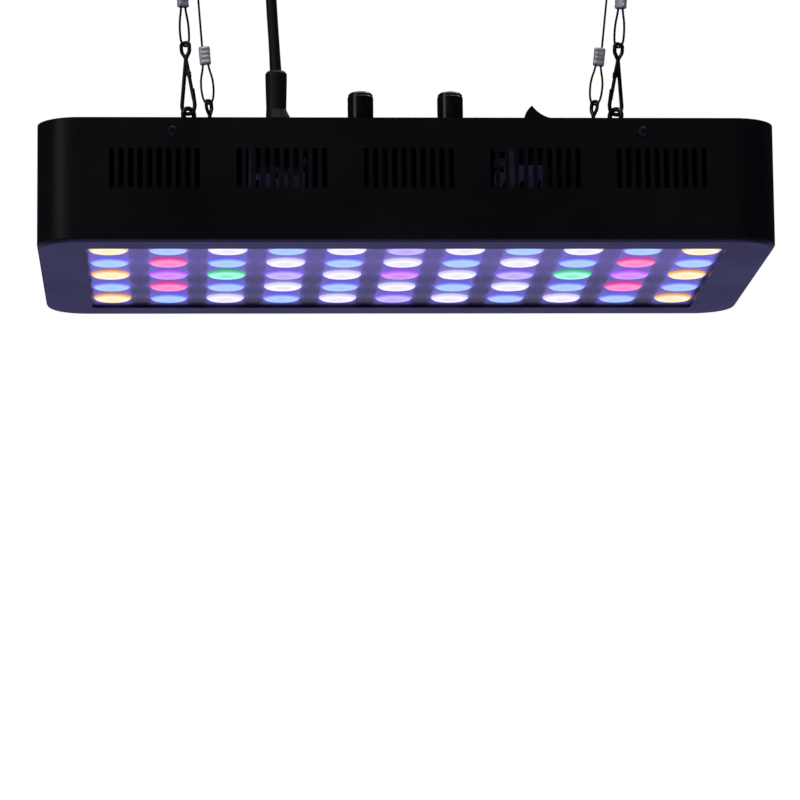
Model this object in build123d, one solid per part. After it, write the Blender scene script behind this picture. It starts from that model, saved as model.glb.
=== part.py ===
from build123d import *

import math
import os

# A hanging LED aquarium light. Millimetres, +Z up, X along the length, Y from front to back.
# The origin is the centre of the housing's top face.

# ---- driving dimensions ----
LENGTH, DEPTH, HEIGHT = 400.0, 212.0, 68.0
WALL = 1.5
CORNER_R = 23.0
FOLD_R = 2.6
FRONT = -DEPTH / 2

# underside: rim, recess and LED grid
OPENING_X, OPENING_Y, OPENING_R = 347.0, 171.0, 2.5
COLUMNS, ROWS = 11, 5
PITCH_X, PITCH_Y = 32.35, 34.6
RIM_TOP = -HEIGHT + WALL
GASKET_T = 1.9
PLATE_Z = RIM_TOP + GASKET_T
PLATE_T = 1.5
PLATE_MARGIN = 6.0
LENS_R = 10.7
LENS_PROUD = 1.7
BOARD_Z = PLATE_Z + 11.0
BOARD_T = 1.6
SINK_Z = BOARD_Z + BOARD_T
SINK_BASE_T = 4.0
FIN_TOP = -30.0
FIN_T, FIN_PITCH, FIN_COUNT = 1.6, 9.0, 37

# vent slots in the front and back walls
VENT_GROUPS, VENT_GROUP_PITCH = 5, 68.3
VENT_SLOTS, VENT_PITCH = 10, 5.1
VENT_W, VENT_H, VENT_Z = 2.7, 22.0, -27.7

# cover, its screws and everything that stands on it
COVER_GAP = 0.15
FLANGE_H, FLANGE_T = 14.0, 1.2
SCREW_X, SCREW_Z = 127.0, -7.6
FAN_X, FAN_Y, FAN_SIDE, FAN_T = 125.0, 5.0, 80.0, 25.0
FAN_BORE_R, FAN_SCREW_PITCH = 38.0, 71.5
KNOB_X = {"white": -25.1, "blue": 23.6}
KNOB_Y, KNOB_R, KNOB_TOP, KNOB_BOTTOM = -89.5, 7.0, 17.5, 2.4
SWITCH_X, SWITCH_Y = 74.5, -89.5
ROCKER_R, ROCKER_HALF_W, ROCKER_PIVOT_Z, ROCKER_TILT = 11.6, 10.0, -0.9, 20.5
BEZEL_H = 0.9
INLET_X, INLET_Y = -70.1, -61.0
NECK_BOTTOM, NECK_TOP = 14.2, 36.0

# suspension: place of each eye bolt, lean of its wire, and the way its loop faces
CHAINS = {
    "front_left": {"x": -118.2, "y": -76.0, "lean": -2.9, "side": 1, "turn": 20.0, "loop": 3.2},
    "front_right": {"x": 115.2, "y": -76.0, "lean": 3.9, "side": -1, "turn": 20.0, "loop": 3.2},
    "rear_left": {"x": -103.6, "y": 58.0, "lean": -4.4, "side": 1, "turn": -50.0, "loop": 4.0},
    "rear_right": {"x": 113.4, "y": 58.0, "lean": 6.4, "side": -1, "turn": -50.0, "loop": 4.0},
}
TURN_BETWEEN = 55.0
EYE_WIRE_R, EYE_RING_R, EYE_Z = 1.3, 3.6, 8.2
PULL_Z = EYE_Z + EYE_RING_R
HOOK_WIRE_R = 1.1
WIRE_R = 0.6
FERRULE_BOTTOM, FERRULE_H = 57.0, 10.5
UPPER_FERRULE = 106.0
LOOP_TOP = 139.5
CEILING_WIRE_R = 1.4

# mains cord
CORD_R = 3.0
COIL_X, COIL_Y, COIL_R = 2.0, 24.0, 34.75
COIL_HALF_W, COIL_H, COIL_BOTTOM = 12.3, 12.4, 1.2
PLUG_X, PLUG_Y, PLUG_Z = -22.0, 82.0, 10.4

PARTS = {}


def write(name, *solids):
    """Keeps a node: one solid, or a group of separate solids."""
    PARTS[name] = solids[0] if len(solids) == 1 else Compound(children=list(solids))


def slab(size_x, size_y, z_low, z_high, radius=0.0, x=0.0, y=0.0):
    """A flat block with rounded vertical corners."""
    outline = Rectangle(size_x, size_y) if radius == 0 else RectangleRounded(size_x, size_y, radius)
    return extrude(Pos(x, y, z_low) * outline, z_high - z_low)


def rod(radius, z_low, z_high, x=0.0, y=0.0):
    """An upright round bar."""
    return extrude(Pos(x, y, z_low) * Circle(radius), z_high - z_low)


def spun(outline_points, x=0.0, y=0.0):
    """A solid of revolution about an upright axis, from its half section (r, z)."""
    section = make_face(Plane.XZ * Polyline(*outline_points, close=True))
    return Pos(x, y, 0) * revolve(section, Axis.Z)


def tube(path, radius):
    """A round bar swept along a path of straight runs and tangent arcs."""
    start = Plane(origin=path @ 0, z_dir=path % 0)
    return sweep(start * Circle(radius), path=path)


def corner_radii(points):
    """The largest arc for each corner: 0.45 of the shorter run over the tangent of half the turn."""
    radii = []
    for before, corner, after in zip(points, points[1:], points[2:]):
        run_in = Vector(*corner) - Vector(*before)
        run_out = Vector(*after) - Vector(*corner)
        half_turn = math.radians(run_in.get_angle(run_out)) / 2
        radii.append(0.45 * min(run_in.length, run_out.length) / math.tan(half_turn))
    return radii


def routed(name, points, radius):
    """A cord along a list of points; prints its bend radii and checks its volume."""
    radii = corner_radii(points)
    path = FilletPolyline(*points, radius=radii)
    cord = tube(path, radius)
    expected = math.pi * radius**2 * path.length
    print(name, "length", round(path.length, 1), "radii", [round(r, 1) for r in radii],
          "volume ratio", round(cord.volume / expected, 4))
    return cord


# ---- housing ----
def vent_slots(wall_y):
    """Five groups of ten upright slots through a long wall."""
    slots = []
    slot_outline = Plane.XZ * RectangleRounded(VENT_W, VENT_H, 0.9)
    slot = extrude(slot_outline, 4, both=True)
    for group in range(VENT_GROUPS):
        group_x = (group - (VENT_GROUPS - 1) / 2) * VENT_GROUP_PITCH
        for index in range(VENT_SLOTS):
            slot_x = group_x + (index - (VENT_SLOTS - 1) / 2) * VENT_PITCH
            slots.append(Pos(slot_x, wall_y, VENT_Z) * slot)
    return slots


def lower_housing():
    """A folded steel tub: walls, rounded corners and the rim around the underside's opening."""
    outside = slab(LENGTH, DEPTH, -HEIGHT, 0, CORNER_R)
    outside = fillet(outside.faces().sort_by(Axis.Z)[0].edges(), FOLD_R)
    inside = slab(LENGTH - 2 * WALL, DEPTH - 2 * WALL, RIM_TOP, 1, CORNER_R - WALL)
    inside = fillet(inside.faces().sort_by(Axis.Z)[0].edges(), FOLD_R - WALL)
    opening = slab(OPENING_X, OPENING_Y, -HEIGHT - 1, RIM_TOP + 1, OPENING_R)
    tub = outside - inside - opening
    for wall_y in (FRONT + WALL / 2, -FRONT - WALL / 2):
        tub -= vent_slots(wall_y)
        for side in (-1, 1):
            tub -= Pos(side * SCREW_X, wall_y, SCREW_Z) * Rot(90, 0, 0) * Cylinder(1.6, 4)
    return tub


def top_cover():
    """The lid: a plate flush in the tub, with a folded flange behind each long wall."""
    size_x = LENGTH - 2 * (WALL + COVER_GAP)
    size_y = DEPTH - 2 * (WALL + COVER_GAP)
    cover = slab(size_x, size_y, -WALL, 0, CORNER_R - WALL - COVER_GAP)
    for side in (-1, 1):
        flange_y = side * (size_y - FLANGE_T) / 2
        cover += slab(size_x - 2 * CORNER_R - 10, FLANGE_T, -FLANGE_H, -WALL, 0, 0, flange_y)
        for end in (-1, 1):
            cover -= Pos(end * SCREW_X, flange_y, SCREW_Z) * Rot(90, 0, 0) * Cylinder(1.5, 3)
            cover -= rod(FAN_BORE_R, -WALL - 1, 1, end * FAN_X, FAN_Y)
            for fan_side in (-1, 1):
                hole_x = end * FAN_X + fan_side * FAN_SCREW_PITCH / 2
                cover -= rod(2.2, -WALL - 1, 1, hole_x, FAN_Y + side * FAN_SCREW_PITCH / 2)
    for knob_x in KNOB_X.values():
        cover -= rod(3.6, -WALL - 1, 1, knob_x, KNOB_Y)
    for chain in CHAINS.values():
        cover -= rod(2.1, -WALL - 1, 1, chain["x"], chain["y"])
    cover -= slab(2 * ROCKER_R + 2.7, 2 * ROCKER_HALF_W + 2.7, -WALL - 1, 1, 0, SWITCH_X, SWITCH_Y)
    cover -= slab(27.4, 20.4, -WALL - 1, 1, 0, INLET_X, INLET_Y)
    for side in (-1, 1):
        cover -= rod(1.6, -WALL - 1, 1, INLET_X + side * 20, INLET_Y)
    return cover


def screw(head_r, head_h, shank_r, length):
    """A pan-head screw with a cross recess, standing on its shank's end, head up at z = 0."""
    body = spun([(0, -length), (shank_r, -length), (shank_r, 0), (head_r, 0), (head_r, head_h * 0.4),
                 (head_r * 0.62, head_h), (0, head_h)])
    for turn in (0, 90):
        body -= Pos(0, 0, head_h) * Rot(0, 0, turn) * Box(head_r * 1.1, 0.5, head_h)
    return body


def cover_screws():
    """Two screws through each long wall into the cover's flange."""
    solids = []
    for side, turn in ((-1, 90), (1, -90)):
        for end in (-1, 1):
            place = Pos(end * SCREW_X, side * -FRONT, SCREW_Z) * Rot(turn, 0, 0)
            solids.append(place * screw(2.8, 1.4, 1.45, 4.5))
    return solids


# ---- light unit ----
def led_places():
    """Every LED as (column, row, x, y), row 0 at the front."""
    for row in range(ROWS):
        for column in range(COLUMNS):
            yield column, row, (column - (COLUMNS - 1) / 2) * PITCH_X, (row - (ROWS - 1) / 2) * PITCH_Y


# One letter per LED: warm white, blue, white, violet, red, magenta, green. The grid is
# the same left and right, so a row lists its left half and its middle.
COLOUR_ROWS = ("ybwbwv", "brbwbw", "ymgvwm", "brbwbw", "ybwbwv")
COLOURS = {
    "y": "warm_white",
    "b": "blue",
    "w": "white",
    "v": "violet",
    "r": "red",
    "m": "magenta",
    "g": "green",
}


def colour_of(column, row):
    return COLOURS[COLOUR_ROWS[row][min(column, COLUMNS - 1 - column)]]


def lens():
    """A plastic lens: proud face below the plate, shoulder on the plate, cone and foot to the board."""
    low = PLATE_Z - LENS_PROUD
    shoulder = PLATE_Z + PLATE_T
    return spun([(0, low), (LENS_R - 1.4, low), (LENS_R, low + 0.9), (LENS_R, shoulder),
                 (LENS_R + 1.1, shoulder), (LENS_R + 1.1, shoulder + 1.2), (LENS_R - 0.6, shoulder + 1.2),
                 (7.0, BOARD_Z - 2.0), (7.0, BOARD_Z), (5.0, BOARD_Z), (5.0, BOARD_Z - 3.6),
                 (0, BOARD_Z - 3.6)])


def led_emitter():
    """A high-power LED: round base on the board and a small dome."""
    return spun([(0, BOARD_Z), (4.0, BOARD_Z), (4.0, BOARD_Z - 1.2), (2.8, BOARD_Z - 1.6),
                 (2.4, BOARD_Z - 2.5), (1.3, BOARD_Z - 3.0), (0, BOARD_Z - 3.1)])


def lens_plate():
    """The dark panel in the recess, with a round hole for each lens."""
    plate = slab(OPENING_X + 2 * PLATE_MARGIN, OPENING_Y + 2 * PLATE_MARGIN, PLATE_Z, PLATE_Z + PLATE_T, 4)
    holes = [rod(LENS_R + 0.2, PLATE_Z - 1, PLATE_Z + PLATE_T + 1, x, y) for _, _, x, y in led_places()]
    return plate - holes


def panel_gasket():
    """A foam frame between the rim and the lens plate."""
    size_x, size_y = OPENING_X + 2 * PLATE_MARGIN, OPENING_Y + 2 * PLATE_MARGIN
    return (slab(size_x, size_y, RIM_TOP, PLATE_Z, 4)
            - slab(OPENING_X + 1, OPENING_Y + 1, RIM_TOP - 1, PLATE_Z + 1, OPENING_R))


def heat_sink():
    """An extruded aluminium block with fins across the light, clear below the drivers and fans."""
    size_y = OPENING_Y - 1
    sink = slab(OPENING_X, size_y, SINK_Z, SINK_Z + SINK_BASE_T)
    for index in range(FIN_COUNT):
        fin_x = (index - (FIN_COUNT - 1) / 2) * FIN_PITCH
        sink += slab(FIN_T, size_y, SINK_Z + SINK_BASE_T, FIN_TOP, 0, fin_x, 0)
    return sink


def board_screws():
    """Six screws that hold the LED board to the heat sink, between the lenses."""
    solids = []
    for column in (-4.5, 0.5, 4.5):
        for row in (-1.5, 1.5):
            head = screw(2.6, 1.3, 1.2, BOARD_T + 3)
            place = Pos(column * PITCH_X, row * PITCH_Y, BOARD_Z) * Rot(180, 0, 0)
            solids.append(place * head)
    return solids


def board_screw_holes():
    holes = []
    for column in (-4.5, 0.5, 4.5):
        for row in (-1.5, 1.5):
            holes.append(rod(1.25, BOARD_Z - 1, SINK_Z + 3.2, column * PITCH_X, row * PITCH_Y))
    return holes


# ---- fans ----
def fan_frame(fan_x):
    """An 80 mm axial fan's frame: square rings, bore, three stator arms and the bearing cup."""
    high = -WALL
    low = high - FAN_T
    frame = slab(FAN_SIDE, FAN_SIDE, low, high, 6) - rod(FAN_BORE_R, low - 1, high + 1)
    middle = (slab(FAN_SIDE + 1, FAN_SIDE + 1, low + 4, high - 4) - rod(FAN_BORE_R + 1.8, low, high))
    corners = [rod(7.5, low + 4, high - 4, a * FAN_SCREW_PITCH / 2, b * FAN_SCREW_PITCH / 2)
               for a in (-1, 1) for b in (-1, 1)]
    frame -= middle - corners
    for a in (-1, 1):
        for b in (-1, 1):
            frame -= rod(2.1, low - 1, high + 1, a * FAN_SCREW_PITCH / 2, b * FAN_SCREW_PITCH / 2)
    cup = rod(15.0, low, low + 3.5) - rod(1.55, low + 1, low + 4)
    for turn in (90, 210, 330):
        cup += Rot(0, 0, turn) * Pos(26.5, 0, low + 1.5) * Box(25, 4, 3)
    return Pos(fan_x, FAN_Y, 0) * (frame + cup)


def fan_rotor(fan_x):
    """Hub, seven pitched blades and the shaft that runs in the bearing cup."""
    low = -WALL - FAN_T + 4.2
    high = -WALL - 1.6
    rotor = rod(16.0, low, high)
    blade_section = Plane.YZ * Pos(0, (low + high) / 2) * Rot(0, 0, 38) * RectangleRounded(21, 1.6, 0.7)
    for index in range(7):
        blade = extrude(Pos(14, 0, 0) * blade_section, 22.6)
        rotor += Rot(0, 0, index * 360 / 7) * blade
    rotor &= rod(36.8, low, high)
    rotor += rod(1.5, low - 2.4, low + 1)
    return Pos(fan_x, FAN_Y, 0) * rotor


def fan_guard(fan_x):
    """A wire finger guard: concentric rings on two crossed bars, with four screw lugs."""
    wire = 0.8
    ring_z = 3.1
    guard = Pos(0, 0, ring_z) * Torus(FAN_BORE_R, wire)
    for ring_r in (12.0, 20.0, 29.0):
        guard += Pos(0, 0, ring_z) * Torus(ring_r, wire)
    half = FAN_SCREW_PITCH / 2 * math.sqrt(2)
    for turn in (45, 135):
        guard += Rot(0, 0, turn) * Pos(0, 0, 1.75) * Box(2 * half - 7.5, 2 * wire, 1.5)
    for a in (-1, 1):
        for b in (-1, 1):
            lug_x, lug_y = a * FAN_SCREW_PITCH / 2, b * FAN_SCREW_PITCH / 2
            guard += rod(4.0, 0.0, 1.5, lug_x, lug_y)
            guard -= rod(2.1, -1, 5, lug_x, lug_y)
    return Pos(fan_x, FAN_Y, 0) * guard


def fan_screws():
    solids = []
    for end in (-1, 1):
        for a in (-1, 1):
            for b in (-1, 1):
                place = Pos(end * FAN_X + a * FAN_SCREW_PITCH / 2, FAN_Y + b * FAN_SCREW_PITCH / 2, 1.5)
                solids.append(place * screw(3.3, 2.0, 2.0, 10))
    return solids


# ---- electrics ----
def driver(y_centre):
    """A potted LED driver in an aluminium can with two screw ears, hung under the cover."""
    can = slab(104, 28, -27, -WALL - 0.2, 2, 0, y_centre)
    for side in (-1, 1):
        ear = slab(9, 16, -3.4, -WALL - 0.2, 0, side * 56, y_centre) - rod(1.8, -5, 0, side * 57, y_centre)
        can += ear
    return can


def terminal_block():
    """A three-pole screw terminal between the inlet and the drivers."""
    block = slab(24, 16, -14, -WALL, 1, -18, -40)
    for pole in (-1, 0, 1):
        block -= rod(2.2, -15, -10, -18 + pole * 7.5, -40)
    return block


def inlet_socket():
    """The mains inlet: flange on the cover, body below, a recess for the connector."""
    flange = slab(50, 23, 0, 2.6, 4)
    body = slab(27, 20, -19, 0, 1.5)
    recess = slab(24.7, 16.9, -15.5, 4, 2.0)
    socket = flange + body - recess
    for side in (-1, 1):
        socket -= rod(1.7, -1, 4, side * 20, 0)
    for blade_x, blade_y in inlet_blade_places():
        socket -= slab(2.0, 4.0, -25, -14, 0, blade_x, blade_y)
    return Pos(INLET_X, INLET_Y, 0) * socket


def inlet_blade_places():
    return ((-7.0, 0.0), (0.0, -2.0), (7.0, 0.0))


def inlet_pins():
    pins = []
    for blade_x, blade_y in inlet_blade_places():
        pins.append(slab(2.0, 4.0, -24, -2.0, 0, INLET_X + blade_x, INLET_Y + blade_y))
    return pins


def inlet_screws():
    return [Pos(INLET_X + side * 20, INLET_Y, 2.6) * screw(2.8, 1.5, 1.5, 7) for side in (-1, 1)]


def power_connector():
    """The moulded cord connector: its nose in the inlet and a shoulder above, fuller on the right."""
    nose = slab(24.2, 16.4, -14.0, 3.4, 1.8)
    for blade_x, blade_y in inlet_blade_places():
        nose -= slab(2.5, 4.5, -15, -1.0, 0, blade_x, blade_y)
    grip = loft([Pos(0, 0, 3.4) * RectangleRounded(25.0, 18.0, 4.5),
                 Pos(1.3, 0, 8.2) * RectangleRounded(14.2, 14.0, 5.0),
                 Pos(0, 0, NECK_BOTTOM) * RectangleRounded(11.2, 11.2, 5.0)], ruled=True)
    return Pos(INLET_X, INLET_Y, 0) * (nose + grip)


def connector_strain_relief():
    """The rubber neck between the connector and the cord, a little wider at its top."""
    neck = spun([(0, NECK_BOTTOM), (5.5, NECK_BOTTOM), (5.95, NECK_TOP - 4.0), (5.95, NECK_TOP - 1.2),
                 (5.0, NECK_TOP), (0, NECK_TOP)])
    return Pos(INLET_X, INLET_Y, 0) * neck


# ---- dimmers and switch ----
def dimmer_pots():
    solids = []
    for knob_x in KNOB_X.values():
        pot = rod(8.2, -12.5, -WALL, knob_x, KNOB_Y) + rod(3.5, -WALL, 4.0, knob_x, KNOB_Y)
        pot += slab(11, 8, -11.5, -7.5, 0, knob_x, KNOB_Y + 9)
        pot -= rod(3.05, -8.0, 5.0, knob_x, KNOB_Y)
        solids.append(pot)
    return solids


def dimmer_shaft(knob_x):
    """The potentiometer's spindle with a flat at its top."""
    shaft = rod(3.0, -7.5, 14.0, knob_x, KNOB_Y)
    return shaft - slab(4, 8, 5.0, 15, 0, knob_x + 4.2, KNOB_Y)


def dimmer_nuts():
    solids = []
    for knob_x in KNOB_X.values():
        nut = extrude(Pos(knob_x, KNOB_Y, 0) * RegularPolygon(5.2, 6, major_radius=False), 2.0)
        solids.append(nut - rod(3.5, -1, 3, knob_x, KNOB_Y))
    return solids


def dimmer_knob(knob_x):
    """A push-on knob: a stepped crown, a rounded top edge and a hollow skirt over the nut."""
    profile = [(0, KNOB_BOTTOM), (KNOB_R, KNOB_BOTTOM), (KNOB_R, KNOB_TOP - 3.0),
               (KNOB_R - 0.35, KNOB_TOP - 2.5), (KNOB_R - 0.35, KNOB_TOP - 1.4),
               (KNOB_R - 1.2, KNOB_TOP - 0.5), (KNOB_R - 2.8, KNOB_TOP), (0, KNOB_TOP)]
    knob = spun(profile, knob_x, KNOB_Y) - rod(6.1, KNOB_BOTTOM - 1, KNOB_BOTTOM + 3.4, knob_x, KNOB_Y)
    pointer = Pos(knob_x, KNOB_Y - KNOB_R + 0.9, KNOB_TOP) * Box(0.9, 4.0, 1.2)
    return knob - dimmer_shaft(knob_x) - pointer


def switch_body():
    """The switch's bezel and box, open on top for the rocker, with a hole for each trunnion."""
    half_x, half_y = ROCKER_R + 0.35, ROCKER_HALF_W + 0.35
    body = slab(2 * half_x + 3.6, 2 * half_y + 3.6, 0, BEZEL_H, 1.0)
    body += slab(2 * half_x + 1.8, 2 * half_y + 1.8, -20, 0)
    body -= slab(2 * half_x, 2 * half_y, ROCKER_PIVOT_Z - 9.5, 3)
    body -= Pos(0, 0, ROCKER_PIVOT_Z) * Rot(90, 0, 0) * Cylinder(1.55, 2 * half_y + 1.4)
    for side in (-1, 0, 1):
        body += slab(0.8, 6.3, -28, -20, 0, side * 9.5, 0)
    return Pos(SWITCH_X, SWITCH_Y, 0) * body


def switch_rocker():
    """A rocker with a dished top and round ends, tilted with its left end up."""
    top_angle = 58.0
    bottom_angle = 110.0
    tips = [Vector(side * ROCKER_R * math.sin(math.radians(angle)), ROCKER_R * math.cos(math.radians(angle)))
            for side, angle in ((-1, top_angle), (1, top_angle), (1, bottom_angle), (-1, bottom_angle))]
    side_angle = math.radians((top_angle + bottom_angle) / 2)
    side_x, side_z = ROCKER_R * math.sin(side_angle), ROCKER_R * math.cos(side_angle)
    outline = [ThreePointArc(tips[0], (0, 3.1), tips[1]), ThreePointArc(tips[1], (side_x, side_z), tips[2]),
               Line(tips[2], tips[3]), ThreePointArc(tips[3], (-side_x, side_z), tips[0])]
    section = make_face([Plane.XZ * edge for edge in outline])
    rocker = extrude(section, ROCKER_HALF_W, both=True)
    rocker += Rot(90, 0, 0) * Cylinder(1.5, 2 * ROCKER_HALF_W + 1.9)
    return Pos(SWITCH_X, SWITCH_Y, ROCKER_PIVOT_Z) * Rot(0, ROCKER_TILT, 0) * rocker


# ---- suspension ----
def chain_frame(chain):
    """Origin at the pull point on the eye's top, z along the wire."""
    return Pos(chain["x"], chain["y"], PULL_Z) * Rot(0, chain["lean"], 0)


def hook_turn(chain):
    return -chain["side"] * chain["turn"]


def loop_turn(chain):
    return hook_turn(chain) + chain["side"] * math.copysign(TURN_BETWEEN, chain["turn"])


def eye_bolt(chain):
    """A ring on a collar and shank; the shank passes through the cover to its nut."""
    ring = Rot(90, 0, 0) * Torus(EYE_RING_R, EYE_WIRE_R)
    stem = spun([(0, -EYE_Z - 8.5), (2.0, -EYE_Z - 8.5), (2.0, -EYE_Z), (4.0, -EYE_Z), (4.0, -EYE_Z + 1.3),
                 (1.9, -EYE_Z + 1.9), (1.4, -EYE_RING_R - 0.2), (0, -EYE_RING_R - 0.2)])
    return Pos(chain["x"], chain["y"], EYE_Z) * Rot(0, 0, loop_turn(chain)) * (ring + stem)


def eye_nut(chain):
    nut = extrude(Pos(chain["x"], chain["y"], -WALL - 3.2) * RegularPolygon(3.5, 6, major_radius=False), 3.2)
    return nut - rod(2.0, -9, 0, chain["x"], chain["y"])


# snap hook, in its own plane: u across, v along the pull, v = 0 at the eye's top wire
BEND_V = 0.75
BEND_R = 3.75
CROSS_V = 28.0
CROWN_V, CROWN_R = 34.5, 2.3
LEG_TILT = math.degrees(math.atan2(BEND_R, CROSS_V - BEND_V))
PIVOT_S = 8.0
GATE_END_S = 23.3
LAP_S = 17.2
GATE_WIRE_R = 1.0


def snap_wire(points, radii, wire_r):
    path = FilletPolyline(*[(u, 0, v) for u, v in points], radius=radii)
    return tube(path, wire_r)


def leg_frame():
    """Origin at the crossing, -z down the leg that holds the gate."""
    return Pos(0, 0, CROSS_V) * Rot(0, -LEG_TILT, 0)


def snap_hook_frame():
    """A figure-of-eight hook bent from round wire, with a tab for its gate."""
    leg_u = BEND_R + 0.05
    crown_v = CROWN_V + CROWN_R
    nose_v = CROSS_V - LAP_S
    bend_low = BEND_V - BEND_R + 0.1
    main = snap_wire([(2.9, nose_v), (leg_u, BEND_V + 0.4), (2.4, bend_low), (-2.4, bend_low),
                      (-leg_u, BEND_V + 0.4), (0, CROSS_V), (CROWN_R, CROWN_V - 2.6), (CROWN_R, crown_v),
                      (0, crown_v)],
                     [6.0, 2.2, 2.2, 6.0, 8.0, 4.0, 1.6], HOOK_WIRE_R)
    back = snap_wire([(0.4, crown_v), (-CROWN_R, crown_v), (-CROWN_R, CROWN_V - 2.6), (0, CROSS_V),
                      (0.84, CROSS_V - 5.5)],
                     [1.6, 4.0, 8.0], HOOK_WIRE_R - 0.1)
    tab = Pos(0, 0, -PIVOT_S + 1.6) * Box(1.9, 1.2, 3.2)
    tab += Pos(0, 0, -PIVOT_S) * Rot(90, 0, 0) * Cylinder(1.05, 1.2)
    tab -= Pos(0, 0, -PIVOT_S) * Rot(90, 0, 0) * Cylinder(0.5, 3)
    lap_h = GATE_END_S + 0.3 - (LAP_S - 0.5)
    inner_half = Pos(-1.05, 0, -LAP_S + 0.5 - lap_h / 2) * Box(2.3, 4, lap_h)
    return main + back + leg_frame() * tab - leg_frame() * inner_half


def snap_hook_gate():
    """The sprung gate: a bar with a lap at its tip and two ears on the rivet."""
    bar_top = PIVOT_S + 1.5
    bar = rod(GATE_WIRE_R, -GATE_END_S, -bar_top)
    bar -= Pos(2.0 - 0.1, 0, -(LAP_S - 0.3 + GATE_END_S + 1) / 2) * Box(4.0, 4, GATE_END_S + 1 - LAP_S + 0.3)
    for side in (-1, 1):
        ear = Pos(0, side * 1.05, -PIVOT_S) * Rot(90, 0, 0) * Cylinder(1.1, 0.6)
        ear += Pos(0, side * 1.05, -(PIVOT_S + bar_top + 1) / 2) * Box(1.8, 0.6, bar_top + 1 - PIVOT_S)
        bar += ear
        bar -= Pos(0, side * 1.05, -PIVOT_S) * Rot(90, 0, 0) * Cylinder(0.55, 0.8)
    return leg_frame() * bar


def gate_rivet():
    rivet = Rot(90, 0, 0) * Cylinder(0.5, 3.0)
    for side in (-1, 1):
        rivet += Pos(0, side * 1.65, 0) * Rot(90, 0, 0) * Cylinder(0.85, 0.3)
    return leg_frame() * Pos(0, 0, -PIVOT_S) * rivet


def placed_hook(chain, piece):
    """Turns a snap-hook piece into its chain; the right-hand chains are mirrored."""
    if chain["side"] < 0:
        piece = mirror(piece, about=Plane.YZ)
    return chain_frame(chain) * Rot(0, 0, hook_turn(chain)) * piece


def wire_points(chain):
    """The wire rope's route in its loop's plane: lower loop, straight pull, upper loop."""
    side = chain["side"]
    loop = chain["loop"]
    low = CROWN_V + CROWN_R - HOOK_WIRE_R - WIRE_R - 0.15
    top = UPPER_FERRULE + FERRULE_H
    outline = [(1.1, FERRULE_BOTTOM + 9.6), (1.1, FERRULE_BOTTOM), (loop, 47.0), (2.7, low), (-2.7, low),
               (-loop, 47.0), (-1.1, FERRULE_BOTTOM), (-1.1, top), (-2.9, 126.0), (-2.7, LOOP_TOP),
               (2.7, LOOP_TOP), (2.9, 126.0), (1.1, top), (1.1, UPPER_FERRULE + 1.0)]
    return [(side * u, 0.0, v) for u, v in outline]


def suspension_wire(name, chain):
    wire = routed(name, wire_points(chain), WIRE_R)
    return chain_frame(chain) * Rot(0, 0, loop_turn(chain)) * wire


def ferrules(chain):
    """The two crimped sleeves of one wire, each with a bore for the wire and one for its tail."""
    solids = []
    for low in (FERRULE_BOTTOM, UPPER_FERRULE):
        sleeve = slab(6.5, 4.0, low, low + FERRULE_H, 1.7)
        sleeve = chamfer(sleeve.edges().group_by(Axis.Z)[0] + sleeve.edges().group_by(Axis.Z)[-1], 0.45)
        sleeve -= slab(3.5, 1.3, low - 1, low + FERRULE_H + 1, 0.6)
        solids.append(chain_frame(chain) * Rot(0, 0, loop_turn(chain)) * sleeve)
    return solids


def ceiling_place(chain):
    """Where the wire's upper loop rests."""
    return (chain_frame(chain) * Pos(0, 0, LOOP_TOP)).position


def ceiling_hook(chain):
    """A screw hook: the upper loop lies in its bend, and its shank goes up into the ceiling."""
    bend = -WIRE_R - CEILING_WIRE_R - 0.06
    points = [(0, 42), (0, 15.5), (-5.2, 10.5), (-5.2, bend), (5.2, bend), (5.2, bend + 8.5)]
    path = FilletPolyline(*[(u, 0, v) for u, v in points], radius=[4.5, 4.5, 5.0, 5.0])
    collar = rod(3.2, 21.0, 22.2)
    hook = tube(path, CEILING_WIRE_R) + collar
    place = ceiling_place(chain)
    return Pos(place.X, place.Y, place.Z) * Rot(0, 0, loop_turn(chain) + 90) * hook


# ---- mains cord ----
def cord_points():
    """Up from the neck, over in an arch, down behind itself and along the cover to the coil."""
    floor = COIL_BOTTOM + CORD_R
    return [(INLET_X, INLET_Y, NECK_TOP + 0.2), (-71.8, -61.0, 62.0), (-73.4, -61.2, 93.0),
            (-73.3, -48.4, 112.2), (-72.8, -27.6, 119.4), (-72.0, -6.8, 112.4), (-71.1, 6.0, 94.5),
            (-69.3, 6.4, 63.0), (-68.5, 4.6, 30.0), (-60.1, 1.3, 13.6), (-45.3, -4.6, floor),
            (-29.8, -11.3, floor), (-14.2, -17.0, floor)]


def coil():
    """The wound length of cord as one ring."""
    ring = (rod(COIL_R + COIL_HALF_W, COIL_BOTTOM, COIL_BOTTOM + COIL_H)
            - rod(COIL_R - COIL_HALF_W, COIL_BOTTOM - 1, COIL_BOTTOM + COIL_H + 1))
    ring = fillet(ring.edges(), 2.6)
    return Pos(COIL_X, COIL_Y, 0) * ring


def tail_points():
    """From the coil's last turn round to the plug's strain relief."""
    return [(38.0, 49.2, 10.2), (27.5, 64.4, 10.3), (13.5, 76.0, 10.3),
            (PLUG_X + 18, PLUG_Y, PLUG_Z), (PLUG_X, PLUG_Y, PLUG_Z)]


def cord_tie():
    """A strap round the coil's section."""
    outer = Box(2 * COIL_HALF_W + 2.8, 10, COIL_H + 1.8)
    inner = Box(2 * COIL_HALF_W + 1.2, 12, COIL_H + 0.2)
    place = Pos(COIL_X - COIL_R, COIL_Y, COIL_BOTTOM + COIL_H / 2)
    return place * (outer - inner)


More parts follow.
